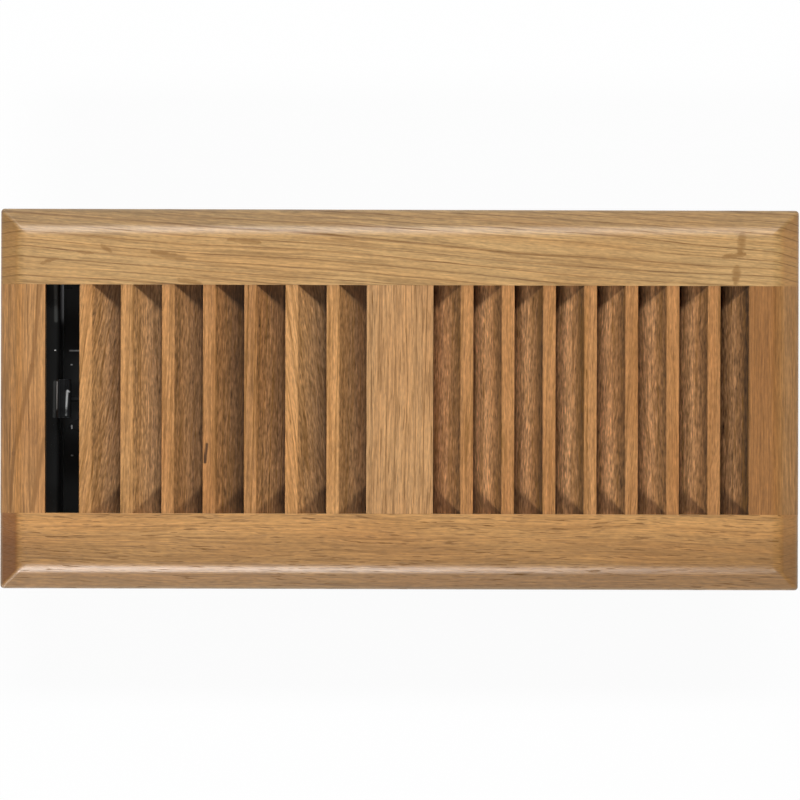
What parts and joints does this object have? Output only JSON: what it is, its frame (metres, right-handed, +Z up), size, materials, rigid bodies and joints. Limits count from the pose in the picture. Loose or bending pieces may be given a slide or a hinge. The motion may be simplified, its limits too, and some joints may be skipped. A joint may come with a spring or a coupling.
{
  "type": "floor register",
  "caption": "Oak floor register with fanned louvre slats in a bevelled frame, over a black steel tray with linked damper blades and a thumb knob.",
  "frame": {"origin": "middle of the wooden face in plan, on the floor that its underside lies on", "axes": "+X along the length away from the lever, +Y across, +Z up out of the floor"},
  "size_m": [0.2922, 0.139, 0.0487],
  "materials": {
    "oak_frame": "satin varnished oak",
    "oak_slat": "satin varnished oak",
    "black_sheet": "gloss black enamel",
    "zinc_steel": "zinc plated",
    "black_plastic": "gloss moulded"
  },
  "bodies": {
    "register_frame": {"back_rail": "oak_frame", "front_rail": "oak_frame", "left_stile": "oak_frame", "right_stile": "oak_frame", "centre_mullion": "oak_frame", "left_slat_1": "oak_slat", "left_slat_2": "oak_slat", "left_slat_3": "oak_slat", "left_slat_4": "oak_slat", "left_slat_5": "oak_slat", "left_slat_6": "oak_slat", "left_slat_7": "oak_slat", "right_slat_1": "oak_slat", "right_slat_2": "oak_slat", "right_slat_3": "oak_slat", "right_slat_4": "oak_slat", "right_slat_5": "oak_slat", "right_slat_6": "oak_slat", "right_slat_7": "oak_slat", "right_slat_8": "oak_slat", "damper_tray": "black_sheet", "tray_screws": "zinc_steel"},
    "blade_1": {"damper_blade_1": "black_sheet"},
    "blade_2": {"damper_blade_2": "black_sheet"},
    "blade_3": {"damper_blade_3": "black_sheet"},
    "blade_4": {"damper_blade_4": "black_sheet"},
    "blade_5": {"damper_blade_5": "black_sheet"},
    "blade_6": {"damper_blade_6": "black_sheet"},
    "blade_7": {"damper_blade_7": "black_sheet"},
    "blade_8": {"damper_blade_8": "black_sheet"},
    "link": {"link_bar": "black_sheet", "thumb_knob": "black_plastic"}
  },
  "joints": [
    {"name": "damper_turn", "type": "hinge", "parent": "register_frame", "child": "blade_1", "pos_m": [-0.10798, 0, -0.018], "axis": [0, 1, 0], "range_deg": [0, 70]},
    {"name": "blade_2_turn", "type": "hinge", "parent": "register_frame", "child": "blade_2", "pos_m": [-0.07712, 0, -0.018], "axis": [0, 1, 0], "range_deg": [0, 70]},
    {"name": "blade_3_turn", "type": "hinge", "parent": "register_frame", "child": "blade_3", "pos_m": [-0.04627, 0, -0.018], "axis": [0, 1, 0], "range_deg": [0, 70]},
    {"name": "blade_4_turn", "type": "hinge", "parent": "register_frame", "child": "blade_4", "pos_m": [-0.01542, 0, -0.018], "axis": [0, 1, 0], "range_deg": [0, 70]},
    {"name": "blade_5_turn", "type": "hinge", "parent": "register_frame", "child": "blade_5", "pos_m": [0.01542, 0, -0.018], "axis": [0, 1, 0], "range_deg": [0, 70]},
    {"name": "blade_6_turn", "type": "hinge", "parent": "register_frame", "child": "blade_6", "pos_m": [0.04627, 0, -0.018], "axis": [0, 1, 0], "range_deg": [0, 70]},
    {"name": "blade_7_turn", "type": "hinge", "parent": "register_frame", "child": "blade_7", "pos_m": [0.07712, 0, -0.018], "axis": [0, 1, 0], "range_deg": [0, 70]},
    {"name": "blade_8_turn", "type": "hinge", "parent": "register_frame", "child": "blade_8", "pos_m": [0.10798, 0, -0.018], "axis": [0, 1, 0], "range_deg": [0, 70]},
    {"name": "link_swing", "type": "hinge", "parent": "blade_1", "child": "link", "pos_m": [-0.11056, 0, -0.01431], "axis": [0, 1, 0], "range_deg": [-70, 0]}
  ],
  "couplings": [
    {"joint": "blade_2_turn", "follows": "damper_turn", "ratio": 1},
    {"joint": "blade_3_turn", "follows": "damper_turn", "ratio": 1},
    {"joint": "blade_4_turn", "follows": "damper_turn", "ratio": 1},
    {"joint": "blade_5_turn", "follows": "damper_turn", "ratio": 1},
    {"joint": "blade_6_turn", "follows": "damper_turn", "ratio": 1},
    {"joint": "blade_7_turn", "follows": "damper_turn", "ratio": 1},
    {"joint": "blade_8_turn", "follows": "damper_turn", "ratio": 1},
    {"joint": "link_swing", "follows": "damper_turn", "ratio": -1}
  ]
}
